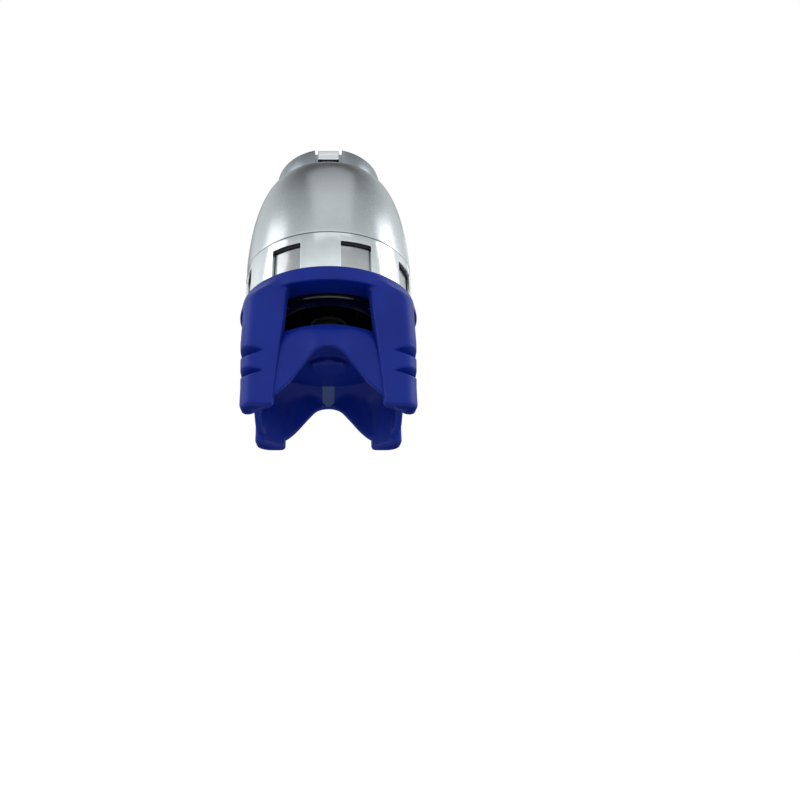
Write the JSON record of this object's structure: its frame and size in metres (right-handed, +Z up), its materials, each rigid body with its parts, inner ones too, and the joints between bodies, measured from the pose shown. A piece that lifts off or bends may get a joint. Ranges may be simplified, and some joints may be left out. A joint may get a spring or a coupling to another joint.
{
  "type": "soft robot gripper",
  "caption": "Robot wrist gripper: domed metal drive unit with a quick-change collar and a blue moulded tool whose fingers close round an object.",
  "frame": {"origin": "centre of the flat wrist face on top of the coupling collar", "axes": "+Z up out of the wrist face along the spindle axis, -Y towards the latch notch, fingers hang towards -Z"},
  "size_m": [0.1034, 0.1034, 0.166],
  "materials": {
    "cast_aluminium": "fine satin, bead blasted and clear anodised",
    "polished_metal": "polished bright with soft turning marks",
    "steel": "machined, light turning marks",
    "bronze": "machined bearing bronze, satin",
    "gold_contact": "gold plated, bright",
    "gloss_black": "gloss black moulded plastic",
    "black_plastic": "fine matte moulded plastic",
    "black_rubber": "matte rubber",
    "blue_silicone": "deep blue moulded silicone, semi-matte with a soft sheen",
    "circuit_board": "green solder mask"
  },
  "bodies": {
    "base": {"coupling_collar": "cast_aluminium", "latch_catch": "polished_metal", "contact_block": "black_plastic", "collar_gasket": "black_rubber", "dome_housing": "cast_aluminium", "skirt_crown": "polished_metal", "inner_skirt": "polished_metal", "window_seal": "black_rubber", "nose_cup": "gloss_black", "wiper_seal": "black_rubber", "guide_plate": "cast_aluminium", "guide_bush": "bronze", "motor_plate": "cast_aluminium", "motor_can": "steel", "screw_bearing": "steel", "control_board": "circuit_board", "motor_driver": "black_plastic", "tool_ring": "blue_silicone", "cup_membrane": "blue_silicone", "contact_pin_1": "gold_contact", "collar_screw_1": "steel", "nose_screw_1": "steel", "standoff_1": "steel", "finger_root_rear_right": "blue_silicone", "web_front": "blue_silicone", "contact_pin_2": "gold_contact", "collar_screw_2": "steel", "nose_screw_2": "steel", "standoff_2": "steel", "finger_root_rear_left": "blue_silicone", "web_right": "blue_silicone", "contact_pin_3": "gold_contact", "collar_screw_3": "steel", "nose_screw_3": "steel", "standoff_3": "steel", "finger_root_front_left": "blue_silicone", "web_rear": "blue_silicone", "contact_pin_4": "gold_contact", "collar_screw_4": "steel", "nose_screw_4": "steel", "standoff_4": "steel", "finger_root_front_right": "blue_silicone", "web_left": "blue_silicone", "guide_rod_1": "polished_metal", "guide_rod_2": "polished_metal"},
    "spindle": {"spindle_tube": "gloss_black", "spindle_nut": "bronze", "spindle_head": "black_plastic", "hub_insert": "black_plastic", "hub": "blue_silicone"},
    "screw": {"lead_screw": "steel", "drive_gear": "steel"},
    "rotor": {"motor_shaft": "steel", "pinion": "bronze"},
    "finger_rear_right": {"finger_rear_right": "blue_silicone"},
    "finger_rear_left": {"finger_rear_left": "blue_silicone"},
    "finger_front_left": {"finger_front_left": "blue_silicone"},
    "finger_front_right": {"finger_front_right": "blue_silicone"}
  },
  "joints": [
    {"name": "spindle_slide", "type": "slide", "parent": "base", "child": "spindle", "axis": [0, 0, 1], "range_m": [0, 0.028], "deforming": ["cup_membrane", "web_front", "web_right", "web_rear", "web_left"]},
    {"name": "screw_turn", "type": "hinge", "parent": "base", "child": "screw", "pos_m": [0, 0, -0.02], "axis": [0, 0, 1], "range_deg": [-5, 1013]},
    {"name": "motor_turn", "type": "hinge", "parent": "base", "child": "rotor", "pos_m": [0.024, 0, -0.02], "axis": [0, 0, 1], "range_deg": [-3039, 15]},
    {"name": "rear_right_close", "type": "hinge", "parent": "base", "child": "finger_rear_right", "pos_m": [0.03394, 0.03394, -0.103], "axis": [-0.7071, 0.7071, 0], "range_deg": [-1, 29], "deforming": ["finger_root_rear_right"]},
    {"name": "rear_left_close", "type": "hinge", "parent": "base", "child": "finger_rear_left", "pos_m": [-0.03394, 0.03394, -0.103], "axis": [-0.7071, -0.7071, 0], "range_deg": [-1, 29], "deforming": ["finger_root_rear_left"]},
    {"name": "front_left_close", "type": "hinge", "parent": "base", "child": "finger_front_left", "pos_m": [-0.03394, -0.03394, -0.103], "axis": [0.7071, -0.7071, 0], "range_deg": [-1, 29], "deforming": ["finger_root_front_left"]},
    {"name": "front_right_close", "type": "hinge", "parent": "base", "child": "finger_front_right", "pos_m": [0.03394, -0.03394, -0.103], "axis": [0.7071, 0.7071, 0], "range_deg": [-1, 29], "deforming": ["finger_root_front_right"]}
  ],
  "couplings": [
    {"joint": "screw_turn", "follows": "spindle_slide", "rad_per_m": 628.32},
    {"joint": "motor_turn", "follows": "spindle_slide", "rad_per_m": -1885},
    {"joint": "rear_right_close", "follows": "spindle_slide", "rad_per_m": 17.453},
    {"joint": "rear_left_close", "follows": "spindle_slide", "rad_per_m": 17.453},
    {"joint": "front_left_close", "follows": "spindle_slide", "rad_per_m": 17.453},
    {"joint": "front_right_close", "follows": "spindle_slide", "rad_per_m": 17.453}
  ]
}
